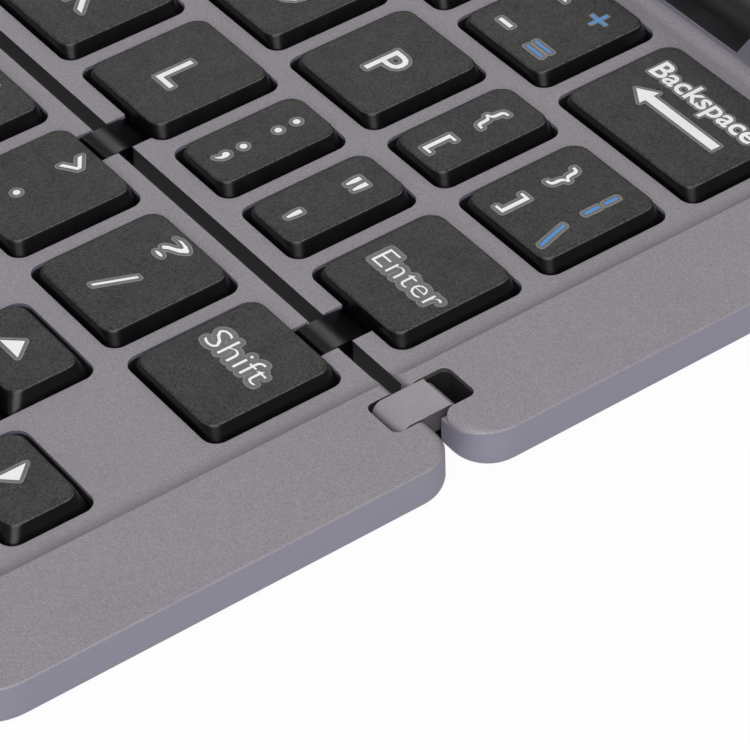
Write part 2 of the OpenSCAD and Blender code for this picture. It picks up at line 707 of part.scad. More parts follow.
// A plate that slides between the switch housing and the wall, with a ribbed knob in the slot
module power_switch() color("#1e1f21") in_place() {
    x = switch_x - switch_travel / 2;
    plate_w = 5;
    knob_y = rear_d - 0.35;
    block(x - plate_w / 2, x + plate_w / 2, switch_plate_y, bay_back - fit, socket_z - 1.2, socket_z + 1.2);
    difference() {
        block(x - switch_knob_w / 2, x + switch_knob_w / 2, bay_back - fit - e, knob_y,
            socket_z - switch_knob_h / 2, socket_z + switch_knob_h / 2);
        for (dx = [-0.6, 0, 0.6]) translate([x + dx, knob_y, socket_z])
            cube([0.25, 0.4, 2 * switch_knob_h], center = true);
    }
}

rear_shell();
rear_cover();
rear_key_plate();
rear_membrane();
rear_domes();
tablet_rest();
battery();
circuit_board();
charging_socket();
power_switch();
rear_pins();
rear_feet();
rear_screws();
left_end_link();
right_end_link();
inner_links();
flat_cable();
front_shell();
front_cover();
front_key_plate();
front_membrane();
front_domes();
front_pins();
front_feet();
front_screws();
key_node("key_backquote");  // key_backquote
key_node("keys_numbers");  // keys_numbers
key_node("key_zero");  // key_zero
key_node("key_minus");  // key_minus
key_node("key_backspace");  // key_backspace
key_node("key_tab");  // key_tab
key_node("keys_upper_letters");  // keys_upper_letters
key_node("key_o");  // key_o
key_node("key_p");  // key_p
key_node("key_open_bracket");  // key_open_bracket
key_node("key_close_bracket");  // key_close_bracket
key_node("key_caps_lock");  // key_caps_lock
key_node("keys_home_letters");  // keys_home_letters
key_node("key_k");  // key_k
key_node("key_l");  // key_l
key_node("key_semicolon");  // key_semicolon
key_node("key_quote");  // key_quote
key_node("key_enter");  // key_enter
key_node("key_left_shift");  // key_left_shift
key_node("keys_lower_letters");  // keys_lower_letters
key_node("key_comma");  // key_comma
key_node("key_period");  // key_period
key_node("key_slash");  // key_slash
key_node("key_right_shift");  // key_right_shift
key_node("key_left_ctrl");  // key_left_ctrl
key_node("key_fn");  // key_fn
key_node("key_menu");  // key_menu
key_node("key_left_alt");  // key_left_alt
key_node("key_space");  // key_space
key_node("key_right_alt");  // key_right_alt
key_node("key_right_ctrl");  // key_right_ctrl
key_node("key_arrow_left");  // key_arrow_left
key_node("key_arrow_up");  // key_arrow_up
key_node("key_arrow_right");  // key_arrow_right
key_node("key_arrow_down");  // key_arrow_down
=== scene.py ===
"""Looks of a folding keyboard in two aluminium halves that close like a book.

The halves, links, rest and inner parts keep the meshes of the construction model and get their finishes
here. New meshes stand for the keycaps, which get rounded edges, and for the rubber domes under them. The
legends are thin layers of print on the caps. Lengths in the classes are in millimetres and become metres
where a mesh is made.
"""

import logging
import math
from dataclasses import dataclass, field
from enum import Enum

import bmesh
import bpy
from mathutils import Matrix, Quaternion, Vector
from mathutils.geometry import delaunay_2d_cdt


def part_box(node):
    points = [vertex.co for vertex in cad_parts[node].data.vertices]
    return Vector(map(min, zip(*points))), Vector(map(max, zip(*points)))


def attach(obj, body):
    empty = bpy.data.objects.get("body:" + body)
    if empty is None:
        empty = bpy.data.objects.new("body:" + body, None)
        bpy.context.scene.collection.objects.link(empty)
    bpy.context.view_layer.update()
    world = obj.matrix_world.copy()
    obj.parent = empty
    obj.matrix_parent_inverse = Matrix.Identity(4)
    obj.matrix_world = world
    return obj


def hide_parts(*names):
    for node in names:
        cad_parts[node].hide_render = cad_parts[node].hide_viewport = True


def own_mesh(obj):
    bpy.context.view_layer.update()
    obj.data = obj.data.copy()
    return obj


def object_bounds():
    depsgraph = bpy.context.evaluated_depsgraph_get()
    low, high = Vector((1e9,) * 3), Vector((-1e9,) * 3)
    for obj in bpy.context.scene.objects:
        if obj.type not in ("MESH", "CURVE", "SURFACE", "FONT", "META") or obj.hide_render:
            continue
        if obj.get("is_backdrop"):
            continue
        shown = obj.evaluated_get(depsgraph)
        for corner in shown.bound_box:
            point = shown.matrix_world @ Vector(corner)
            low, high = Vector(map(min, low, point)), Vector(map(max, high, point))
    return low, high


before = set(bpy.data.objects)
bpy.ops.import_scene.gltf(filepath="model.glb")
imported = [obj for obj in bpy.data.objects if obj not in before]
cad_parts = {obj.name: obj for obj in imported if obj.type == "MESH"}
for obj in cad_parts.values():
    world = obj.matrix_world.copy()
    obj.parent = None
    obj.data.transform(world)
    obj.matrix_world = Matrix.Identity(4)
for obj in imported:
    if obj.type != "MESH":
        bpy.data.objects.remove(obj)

MM = 0.001
# Inputs and colour output of the Mix node, by number because several of them have the same name
SHARE, VALUE_A, VALUE_B, COLOUR_A, COLOUR_B = 0, 2, 3, 6, 7
COLOUR_OUT = 2
log = logging.getLogger("folding_keyboard")


def linear(code: str) -> tuple[float, float, float, float]:
    """Turns an sRGB hex colour into linear light.

    Args:
        code: six hex digits after a hash.

    Returns:
        Red, green, blue and a full alpha.
    """
    parts = [int(code[i:i + 2], 16) / 255 for i in (1, 3, 5)]
    light = [c / 12.92 if c <= 0.04045 else ((c + 0.055) / 1.055) ** 2.4 for c in parts]
    return (*light, 1.0)


def add(
    tree: bpy.types.NodeTree, kind: str, inputs: dict[str | int, object] | None = None, **settings: object
) -> bpy.types.Node:
    """Adds one shader node.

    Args:
        tree: the material's node tree.
        kind: the node's type, without its ShaderNode prefix.
        inputs: values, or the output sockets to link, by input name or number.
        settings: the node's own properties.

    Returns:
        The new node.
    """
    node = tree.nodes.new("ShaderNode" + kind)
    for name, value in settings.items():
        setattr(node, name, value)
    for key, value in (inputs or {}).items():
        if isinstance(value, bpy.types.NodeSocket):
            tree.links.new(value, node.inputs[key])
        else:
            node.inputs[key].default_value = value
    return node


# ---- finishes ----


@dataclass(frozen=True)
class Finish:
    """A surface with a fine grain, slow mottling and edges worn to another shade."""

    name: str
    colour: str
    roughness: float
    metallic: float = 0.0
    grain: float = 0.3                # width of a grain
    grain_height: float = 0.01        # height of the grain's relief
    speckle: float = 0.06             # how far a grain is lighter or darker, in parts of the colour
    mottle: float = 9.0               # width of a slow patch
    mottle_share: float = 0.05        # how far a patch is lighter or darker
    roughness_swing: float = 0.05     # how far the roughness strays
    handled: float = 0.4              # width of its patches, in parts of the slow patches' width
    edge_radius: float = 0.12         # edges look rounded by this much
    edge_colour: str = ""             # none: the edges aren't worn
    wear_and_highlight_share: float = 0.5           # how much of the edge colour a worn edge takes; on key tops, the painted highlight's strength
    bevel_samples: int = 4            # rays that round an edge in the shader
    grain_detail: float = 2.0         # octaves of the noise in the grain,
    patch_detail: float = 3.0         # in the slow patches
    edge_detail: float = 4.0          # and along the edges
    wear_length: float = 3.0          # of a worn spot, in grains
    specular: float = 0.5
    noise_span: tuple[float, float] = (0.3, 0.7)      # the noise's values that carry the full swing
    wear_turn: tuple[float, float] = (0.97, 0.8)      # cosine of the turn where wear begins and is full
    wear_gaps: tuple[float, float] = (0.35, 0.6)      # noise at which an edge is whole and is worn

    def shade(self, tree: bpy.types.NodeTree, place: bpy.types.NodeSocket) -> bpy.types.NodeSocket:
        """Draws the colour with its speckle and mottling.

        Args:
            tree: the material's node tree.
            place: the position on the object.

        Returns:
            The colour's socket.
        """
        fine = add(tree, "TexNoise", {"Vector": place, "Scale": 1 / (self.grain * MM),
                                      "Detail": self.grain_detail})
        slow = add(tree, "TexNoise", {"Vector": place, "Scale": 1 / (self.mottle * MM),
                                      "Detail": self.patch_detail})
        span = {"From Min": self.noise_span[0], "From Max": self.noise_span[1]}
        lift = add(tree, "MapRange", {"Value": fine.outputs[0], **span,
                                      "To Min": 1 - self.speckle, "To Max": 1 + self.speckle})
        drift = add(tree, "MapRange", {"Value": slow.outputs[0], **span,
                                       "To Min": 1 - self.mottle_share, "To Max": 1 + self.mottle_share})
        both = add(tree, "Math", {0: lift.outputs[0], 1: drift.outputs[0]}, operation="MULTIPLY")
        shade = add(tree, "VectorMath", {0: linear(self.colour)[:3], "Scale": both.outputs[0]},
                    operation="SCALE")
        return shade.outputs[0]

    def edges(self, tree: bpy.types.NodeTree, place: bpy.types.NodeSocket) -> bpy.types.NodeSocket:
        """Finds the edges that wear, broken up along their length.

        Args:
            tree: the material's node tree.
            place: the position on the object.

        Returns:
            How far a point is worn, from 0 to 1.
        """
        bevel = add(tree, "Bevel", {"Radius": self.edge_radius * MM}, samples=self.bevel_samples)
        flat = add(tree, "NewGeometry").outputs["Normal"]
        turn = add(tree, "VectorMath", {0: bevel.outputs[0], 1: flat}, operation="DOT_PRODUCT")
        begin, full = self.wear_turn
        edge = add(tree, "MapRange", {"Value": turn.outputs["Value"], "From Min": begin, "From Max": full,
                                      "To Max": self.wear_and_highlight_share})
        spot = self.wear_length * self.grain
        break_noise = add(tree, "TexNoise", {"Vector": place, "Scale": 1 / (spot * MM), "Detail": self.edge_detail})
        whole, worn = self.wear_gaps
        kept = add(tree, "MapRange", {"Value": break_noise.outputs[0], "From Min": whole, "From Max": worn})
        return add(tree, "Math", {0: edge.outputs[0], 1: kept.outputs[0]}, operation="MULTIPLY").outputs[0]

    def coats(
        self, tree: bpy.types.NodeTree, shader: bpy.types.Node, place: bpy.types.NodeSocket,
        colour: bpy.types.NodeSocket
    ) -> bpy.types.NodeSocket:
        """Lays what a finish has over its base colour; the plain finish has only its worn edges.

        Args:
            tree: the material's node tree.
            shader: the material's shader; not used.
            place: the position on the object.
            colour: the colour so far.

        Returns:
            The new colour's socket.
        """
        if not self.edge_colour:
            return colour
        worn = self.edges(tree, place)
        mix = add(tree, "Mix", {SHARE: worn, COLOUR_A: colour, COLOUR_B: linear(self.edge_colour)},
                  data_type="RGBA")
        return mix.outputs[COLOUR_OUT]

    def relief(self, tree: bpy.types.NodeTree, place: bpy.types.NodeSocket) -> bpy.types.NodeSocket:
        """Draws the height of the grain, in parts of the grain height."""
        return add(tree, "TexNoise", {"Vector": place, "Scale": 1 / (self.grain * MM),
                                      "Detail": self.grain_detail}).outputs[0]

    def material(self) -> bpy.types.Material:
        """Makes the material.

        Returns:
            The material, named for the finish.
        """
        made = bpy.data.materials.new(self.name)
        made.use_nodes = True
        tree = made.node_tree
        tree.nodes.clear()
        place = add(tree, "TexCoord").outputs["Object"]
        shader = add(tree, "BsdfPrincipled", {"Metallic": self.metallic, "Specular IOR Level": self.specular})
        wear = self.mottle * self.handled
        uneven = add(tree, "TexNoise", {"Vector": place, "Scale": 1 / (wear * MM),
                                        "Detail": self.patch_detail})
        low, high = self.noise_span
        rough = add(tree, "MapRange", {"Value": uneven.outputs[0], "From Min": low, "From Max": high,
                                       "To Min": self.roughness - self.roughness_swing,
                                       "To Max": self.roughness + self.roughness_swing})
        tree.links.new(rough.outputs[0], shader.inputs["Roughness"])
        colour = self.coats(tree, shader, place, self.shade(tree, place))
        tree.links.new(colour, shader.inputs["Base Color"])
        round_edges = add(tree, "Bevel", {"Radius": self.edge_radius * MM}, samples=self.bevel_samples)
        bump = add(tree, "Bump", {"Height": self.relief(tree, place), "Distance": self.grain_height * MM,
                                  "Normal": round_edges.outputs[0]})
        tree.links.new(bump.outputs[0], shader.inputs["Normal"])
        add(tree, "OutputMaterial", {"Surface": shader.outputs[0]})
        return made


@dataclass(frozen=True)
class Zone:
    """A box-shaped part of an object, in millimetres; X is counted from the middle to both sides."""

    x: tuple[float, float]
    y: tuple[float, float]
    z: tuple[float, float]

    def mask(self, tree: bpy.types.NodeTree, axes: list[bpy.types.NodeSocket]) -> bpy.types.NodeSocket:
        """Finds what lies in the zone.

        Args:
            tree: the material's node tree.
            axes: the distance from the middle, Y and Z.

        Returns:
            1 inside, 0 outside.
        """
        total = 1.0
        for axis, (low, high) in zip(axes, (self.x, self.y, self.z)):
            part = add(tree, "Math", {0: axis, 1: (low + high) / 2 * MM, 2: (high - low) / 2 * MM},
                       operation="COMPARE")
            total = add(tree, "Math", {0: total, 1: part.outputs[0]}, operation="MULTIPLY").outputs[0]
        return total


@dataclass(frozen=True)
class BlastedAluminium(Finish):
    """Bead-blasted aluminium, anodised grey: metal outside, with painted shade on its walls and in its
    openings.
    """

    side: str = "#868392"       # walls: painted shade, a flat colour darker and cooler than the tops
    painted_shade: str = "#050506"     # painted shade in the openings, dull black
    rim: str = "#433f40"        # painted half-shade on the upper edge of the end links' pockets, lighter than the black below it
    painted_shade_roughness: float = 0.8
    side_turn: tuple[float, float] = (0.1, 0.5)    # how far a face looks up where the sides' painted shade ends and the tops begin
    # Places where shade falls, painted dull black
    shaded_openings: tuple[Zone, ...] = (
        Zone((0.0, 107.2), (-57.0, 57.0), (0.7, 3.8)),       # below the deck, down in the wells and the fold
        Zone((0.0, 107.2), (-9.26, -7.54), (0.7, 4.14)),     # the walls that face each other at the fold
        Zone((108.44, 113.06), (-12.46, -3.59), (0.7, 4.95)),    # the slots and pockets of the end links
    )
    pocket_rim: Zone = Zone((108.44, 113.06), (-6.2, -3.59), (4.5, 4.95))

    def coats(
        self, tree: bpy.types.NodeTree, shader: bpy.types.Node, place: bpy.types.NodeSocket,
        colour: bpy.types.NodeSocket
    ) -> bpy.types.NodeSocket:
        """Adds the sides' painted shade and worn edges, then painted black shade in the openings, dull and
        not metal.

        Args:
            tree: the material's node tree.
            shader: the material's shader.
            place: the position on the object.
            colour: the colour so far.

        Returns:
            The new colour's socket.
        """
        # Painted shade: faces that look sideways take the flat, darker and cooler side colour
        up = add(tree, "SeparateXYZ", {0: add(tree, "TexCoord").outputs["Normal"]}).outputs["Z"]
        steep, level = self.side_turn
        flat = add(tree, "MapRange", {"Value": up, "From Min": steep, "From Max": level})
        colour = add(tree, "Mix", {SHARE: flat.outputs[0], COLOUR_A: linear(self.side), COLOUR_B: colour},
                     data_type="RGBA")
        worn = super().coats(tree, shader, place, colour.outputs[COLOUR_OUT])
        split = add(tree, "SeparateXYZ", {0: place}).outputs
        off_x = add(tree, "Math", {0: split["X"]}, operation="ABSOLUTE").outputs[0]
        axes = [off_x, split["Y"], split["Z"]]
        # Painted shade: these places become dull black and lose their metal
        mask = 0.0
        for zone in self.shaded_openings:
            mask = add(tree, "Math", {0: mask, 1: zone.mask(tree, axes)}, operation="MAXIMUM").outputs[0]
        metal = add(tree, "MapRange", {"Value": mask, "To Min": self.metallic, "To Max": 0.0})
        tree.links.new(metal.outputs[0], shader.inputs["Metallic"])
        rough = shader.inputs["Roughness"].links[0].from_socket
        dull = add(tree, "Mix", {SHARE: mask, VALUE_A: rough, VALUE_B: self.painted_shade_roughness})
        tree.links.new(dull.outputs[0], shader.inputs["Roughness"])
        # The pockets' upper edge takes the lighter painted half-shade
        black = add(tree, "Mix", {SHARE: self.pocket_rim.mask(tree, axes), COLOUR_A: linear(self.painted_shade),
                                  COLOUR_B: linear(self.rim)}, data_type="RGBA")
        mix = add(tree, "Mix", {SHARE: mask, COLOUR_A: worn, COLOUR_B: black.outputs[COLOUR_OUT]},
                  data_type="RGBA")
        return mix.outputs[COLOUR_OUT]


@dataclass(frozen=True)
class MachinedLink(Finish):
    """A link cut from bar; its sides get a darker colour than its blasted top, painted shade of the recess
    they stand in.
    """

    # painted shade on the sides
    side: str = "#565356"
    side_turn: tuple[float, float] = (0.6, 0.8)    # how far a face looks sideways where the sides' painted shade begins

    def coats(
        self, tree: bpy.types.NodeTree, shader: bpy.types.Node, place: bpy.types.NodeSocket,
        colour: bpy.types.NodeSocket
    ) -> bpy.types.NodeSocket:
        """Adds worn edges, then the painted shade on the sides.

        Args:
            tree: the material's node tree.
            shader: the material's shader.
            place: the position on the object.
            colour: the colour so far.

        Returns:
            The new colour's socket.
        """
        worn = super().coats(tree, shader, place, colour)
        facing = add(tree, "SeparateXYZ", {0: add(tree, "TexCoord").outputs["Normal"]}).outputs["X"]
        facing = add(tree, "Math", {0: facing}, operation="ABSOLUTE").outputs[0]
        blasted, cut = self.side_turn
        side_shade = add(tree, "MapRange", {"Value": facing, "From Min": blasted, "From Max": cut})
        mix = add(tree, "Mix", {SHARE: side_shade.outputs[0], COLOUR_A: worn, COLOUR_B: linear(self.side)},
                  data_type="RGBA")
        return mix.outputs[COLOUR_OUT]


@dataclass(frozen=True)
class CrownedMoulding(Finish):
    """A glossy moulding whose top bulges along the fold, so that light gathers along its crest."""

    crest_y: float = -9.05
    bulge: float = 0.2

    def relief(self, tree: bpy.types.NodeTree, place: bpy.types.NodeSocket) -> bpy.types.NodeSocket:
        """Adds the fall to both sides of the crest, in parts of the grain height.

        Args:
            tree: the material's node tree.
            place: the position on the object.

        Returns:
            The height's socket.
        """
        along = add(tree, "SeparateXYZ", {0: place}).outputs["Y"]
        off = add(tree, "Math", {0: along, 1: self.crest_y * MM}, operation="SUBTRACT").outputs[0]
        square = add(tree, "Math", {0: off, 1: off}, operation="MULTIPLY").outputs[0]
        fall = -self.bulge / (MM * MM * self.grain_height)
        return add(tree, "Math", {0: square, 1: fall, 2: super().relief(tree, place)},
                   operation="MULTIPLY_ADD").outputs[0]


@dataclass(frozen=True)
class SparkedCap(Finish):
    """A dry, speckled key top, with a painted highlight: a thin broken pale line along its right edge."""

    # colour of the painted highlight
    highlight_colour: str = "#7d7a77"
    highlight_turn: float = 0.5      # how far the edge looks to the right in the middle of the painted highlight
    highlight_width: float = 0.12    # how far that may differ within the painted highlight
    highlight_break: float = 0.4           # length of the painted highlight's breaks
    highlight_break_gaps: tuple[float, float] = (0.32, 0.6)    # noise at which the painted highlight is broken and is whole

    def coats(
        self, tree: bpy.types.NodeTree, shader: bpy.types.Node, place: bpy.types.NodeSocket,
        colour: bpy.types.NodeSocket
    ) -> bpy.types.NodeSocket:
        """Paints the highlight: a pale line where the top turns down to the right.

        Args:
            tree: the material's node tree.
            shader: the material's shader; not used.
            place: the position on the object.
            colour: the colour so far.

        Returns:
            The new colour's socket.
        """
        facing = add(tree, "SeparateXYZ", {0: add(tree, "TexCoord").outputs["Normal"]}).outputs["X"]
        turned = add(tree, "Math", {0: facing, 1: self.highlight_turn, 2: self.highlight_width}, operation="COMPARE")
        break_noise = add(tree, "TexNoise", {"Vector": place, "Scale": 1 / (self.highlight_break * MM),
                                       "Detail": self.edge_detail})
        broken, whole = self.highlight_break_gaps
        kept = add(tree, "MapRange", {"Value": break_noise.outputs[0], "From Min": broken, "From Max": whole,
                                      "To Max": self.wear_and_highlight_share})
        share = add(tree, "Math", {0: turned.outputs[0], 1: kept.outputs[0]}, operation="MULTIPLY")
        mix = add(tree, "Mix", {SHARE: share.outputs[0], COLOUR_A: colour, COLOUR_B: linear(self.highlight_colour)},
                  data_type="RGBA")
        return mix.outputs[COLOUR_OUT]


# Blasting leaves a fine even sparkle; it is about 0.05 mm on the metal and is drawn at 0.13 mm to show.
HALF_SHELL = BlastedAluminium(
    "aluminium_bead_blasted_anodised_grey", "#98939a", 0.6, metallic=0.35, grain=0.13, grain_height=0.009,
    speckle=0.2, mottle=14.0, mottle_share=0.02, roughness_swing=0.02, edge_radius=0.1,
    edge_colour="#c9c5c8", wear_and_highlight_share=0.7)
# The covers' rolled sheet is blasted and anodised like the shells and gets no painted shade.
COVER = Finish(
    "aluminium_sheet_anodised_grey", "#948f96", 0.6, metallic=0.35, grain=0.13, grain_height=0.012,
    speckle=0.18, mottle=18.0, mottle_share=0.01, roughness_swing=0.02, edge_colour="#c4c0c4")
# The end links are cut from bar and blasted finer, so they look smoother than the rails beside them.
END_LINK = MachinedLink(
    "aluminium_machined_anodised_grey", "#a09ba0", 0.55, metallic=0.4, grain=0.16, grain_height=0.004,
    speckle=0.05, mottle=5.0, mottle_share=0.05, edge_radius=0.14, edge_colour="#dedadd", wear_and_highlight_share=0.6)
# A glossy moulding: one soft line of light along its crown.
INNER_LINK = CrownedMoulding(
    "acetal_moulded_black", "#050506", 0.3, grain=0.25, grain_height=0.003, mottle=4.0,
    edge_colour="#2b2b2e")
# Spark-eroded moulding: a dry, speckled top; the real texture is 0.1 mm and is drawn at 0.2 mm to show.
# The pale broken line along each key top's right edge is a painted highlight.
CAP_TOP = SparkedCap(
    "abs_moulded_spark_textured_black", "#2b2a29", 0.48, grain=0.19, grain_height=0.045, speckle=1.0,
    mottle=5.0, mottle_share=0.1, roughness_swing=0.05, edge_radius=0.1, wear_and_highlight_share=0.42)
# Polished black sides, darker than the top, partly painted shade; a thin line of light where they turn into
# the top.
CAP_SIDE = Finish(
    "abs_moulded_polished_black_painted_shade", "#070708", 0.3, grain=0.5, grain_height=0.004, speckle=0.08,
    mottle=4.0, mottle_share=0.1, edge_radius=0.06, specular=0.32)
# Fine moulded satin, a little worn along its edges.
REST = Finish(
    "abs_moulded_satin_black", "#101113", 0.42, grain=0.3, grain_height=0.012, speckle=0.15, mottle=8.0,
    mottle_share=0.08, edge_radius=0.2, edge_colour="#3a3a3d", wear_and_highlight_share=0.35)
# Drawn wire with polished ends: small, bright, clean spots.
PIN = Finish(
    "stainless_steel_drawn", "#c9cbce", 0.22, metallic=1.0, grain=0.15, grain_height=0.003, mottle=2.0)
# Zinc over steel: pale, slightly cloudy.
KEY_PLATE = Finish(
    "steel_sheet_zinc_plated", "#b3b6ba", 0.34, metallic=1.0, grain=0.4, grain_height=0.004, speckle=0.08,
    mottle=6.0, mottle_share=0.12)
# Black oxide worn bright on the cross recess.
SCREW = Finish(
    "steel_cold_formed_black_oxide", "#3d3e42", 0.35, metallic=1.0, grain=0.12, grain_height=0.006,
    mottle=1.5, edge_radius=0.08, edge_colour="#a9abb0", wear_and_highlight_share=0.7)
# Deep-drawn tinned steel round the socket.
SOCKET = Finish(
    "steel_drawn_tin_plated", "#c2c4c7", 0.28, metallic=1.0, grain=0.2, grain_height=0.003, mottle=2.0,
    edge_colour="#e6e6e8")
# A printed film: flat, dark and slightly glossy.
MEMBRANE = Finish("polyester_film_printed_black", "#161618", 0.28, grain=0.6, grain_height=0.002, mottle=12.0)
# Translucent domes, seen as a milky white.
DOME = Finish("silicone_moulded_milky", "#d4d3cc", 0.48, grain=0.2, grain_height=0.004, mottle=1.5)
# Dusty, grippy rubber.
FOOT = Finish(
    "silicone_rubber_moulded_black", "#2a2a2c", 0.72, grain=0.25, grain_height=0.03, speckle=0.18,
    mottle=3.0, mottle_share=0.12, edge_radius=0.15)
# Laminated foil pouch: soft metal with slow creases.
BATTERY = Finish(
    "aluminium_laminate_pouch_foil", "#9aa0a6", 0.3, metallic=0.8, grain=1.6, grain_height=0.05, mottle=7.0,
    mottle_share=0.1)
# Green solder mask over woven glass.
BOARD = Finish(
    "glass_epoxy_laminate_solder_mask", "#1c5a38", 0.32, grain=0.5, grain_height=0.012, speckle=0.12,
    mottle=5.0, mottle_share=0.15, edge_colour="#a9a274")
# Amber film with the copper showing through.
CABLE = Finish("polyimide_film_copper_tracks", "#6b3a12", 0.3, grain=0.6, grain_height=0.004, mottle=3.0)
# A small slider, matt from the mould and from handling.
SWITCH = Finish("acetal_moulded_matt_black", "#1b1c1e", 0.5, grain=0.2, grain_height=0.01, mottle=2.0)
# Screen-printed inks: raised a hair, even in colour, with a soft grain from the texture below.
INK_WHITE = Finish(
    "epoxy_ink_screen_printed_white", "#f2f3f4", 0.45, grain=0.2, grain_height=0.004, speckle=0.02,
    edge_radius=0.02)
INK_BLUE = Finish(
    "epoxy_ink_screen_printed_blue", "#3f8fd6", 0.45, grain=0.2, grain_height=0.004, speckle=0.06,
    edge_radius=0.02)
# Clear coat under the ink, dulled to a grey halo with a paler rim.
HALO = Finish(
    "acrylic_clear_coat_grey_haze", "#686565", 0.4, grain=0.25, grain_height=0.01, speckle=0.14, mottle=1.5,
    mottle_share=0.1, edge_radius=0.02)
HALO_RIM = Finish(
    "acrylic_clear_coat_thick_rim", "#858180", 0.35, grain=0.25, grain_height=0.01, speckle=0.15,
    edge_radius=0.02)


class Wardrobe:
    """Makes each finish's material once and puts it on objects."""

    def __init__(self) -> None:
        """Starts with no material made."""
        self.made: dict[str, bpy.types.Material] = {}

    def material(self, finish: Finish) -> bpy.types.Material:
        """Finds a finish's material, made at its first use.

        Args:
            finish: the finish.

        Returns:
            Its material.
        """
        if finish.name not in self.made:
            self.made[finish.name] = finish.material()
        return self.made[finish.name]

    def dress(self, obj: bpy.types.Object, *finishes: Finish) -> None:
        """Gives an object its materials.

        Args:
            obj: the object.
            finishes: its finishes, in the order of its faces' material numbers.
        """
        slots = obj.data.materials
        for number, finish in enumerate(finishes):
            if number < len(slots):
                slots[number] = self.material(finish)
            else:
                slots.append(self.material(finish))
        log.info("dressed %s in %s", obj.name, ", ".join(f.name for f in finishes))


# ---- meshes ----


@dataclass
class Draft:
    """Closed solids collected in one mesh, drawn in millimetres."""

    name: str
    mesh: bmesh.types.BMesh = field(default_factory=bmesh.new)

    def loop(self, outline: list[Vector], z: float) -> list[bmesh.types.BMVert]:
        """Adds an outline's points at one height."""
        return [self.mesh.verts.new((p.x * MM, p.y * MM, z * MM)) for p in outline]

    def skin(
        self, lower: list[bmesh.types.BMVert], upper: list[bmesh.types.BMVert], finish: int = 0
    ) -> None:
        """Joins two loops of the same number of points with a band of faces.

        Args:
            lower: one loop.
            upper: the other loop.
            finish: the faces' material number.
        """
        for i, vert in enumerate(lower):
            after = (i + 1) % len(lower)
            face = self.mesh.faces.new((vert, lower[after], upper[after], upper[i]))
            face.material_index = finish
            face.smooth = True

    def lid(self, loop: list[bmesh.types.BMVert], finish: int = 0) -> None:
        """Closes a loop with one flat face.

        Args:
            loop: the loop.
            finish: the face's material number.
        """
        face = self.mesh.faces.new(loop)
        face.material_index = finish
        face.smooth = True

    def plate(self, region: "Region", top: float, bottom: float, finish: int) -> None:
        """Adds a flat plate over a region, closed below and round its edge.

        Args:
            region: the plate's outline and faces.
            top: the height of its top.
            bottom: the height of its underside.
            finish: the faces' material number.
        """
        verts = self.loop(region.points, bottom)
        faces = [self.mesh.faces.new([verts[i] for i in f]) for f in region.faces]
        grown = bmesh.ops.extrude_face_region(self.mesh, geom=faces, use_keep_orig=True)["geom"]
        touched = set(faces)
        for item in grown:
            if isinstance(item, bmesh.types.BMVert):
                item.co.z = top * MM
                touched.update(item.link_faces)
        for face in touched:
            face.material_index = finish

    def object(self, body: str, sharp_angle: float = 35.0) -> bpy.types.Object:
        """Turns the draft into an object that moves with a body.

        Args:
            body: the body that carries it.
            sharp_angle: an edge that turns by more degrees than this stays crisp.

        Returns:
            The new object.
        """
        bmesh.ops.recalc_face_normals(self.mesh, faces=self.mesh.faces)
        data = bpy.data.meshes.new(self.name)
        self.mesh.to_mesh(data)
        self.mesh.free()
        data.set_sharp_from_angle(angle=math.radians(sharp_angle))
        made = bpy.data.objects.new(self.name, data)
        bpy.context.scene.collection.objects.link(made)
        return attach(made, body)


def rounded(
    x0: float, x1: float, y0: float, y1: float, radius: float, steps: int = 8
) -> list[Vector]:
    """Draws a rectangle with rounded corners.

    Args:
        x0: its left side.
        x1: its right side.
        y0: its front side.
        y1: its rear side.
        radius: of the corners.
        steps: how many parts each corner's arc has.

    Returns:
        The outline's points, counterclockwise.
    """
    points = []
    middle_x, middle_y = (x0 + x1) / 2, (y0 + y1) / 2
    for corner, (x, y) in enumerate(((x1, y1), (x0, y1), (x0, y0), (x1, y0))):
        centre = Vector((x - math.copysign(radius, x - middle_x), y - math.copysign(radius, y - middle_y)))
        for i in range(steps + 1):
            angle = math.radians(90 * (corner + i / steps))
            points.append(centre + radius * Vector((math.cos(angle), math.sin(angle))))
    return points


# ---- print on the keys ----


class Coat(Enum):
    """The coats of a key's print, by the number of their material."""

    RIM = 0
    HAZE = 1
    WHITE = 2
    BLUE = 3


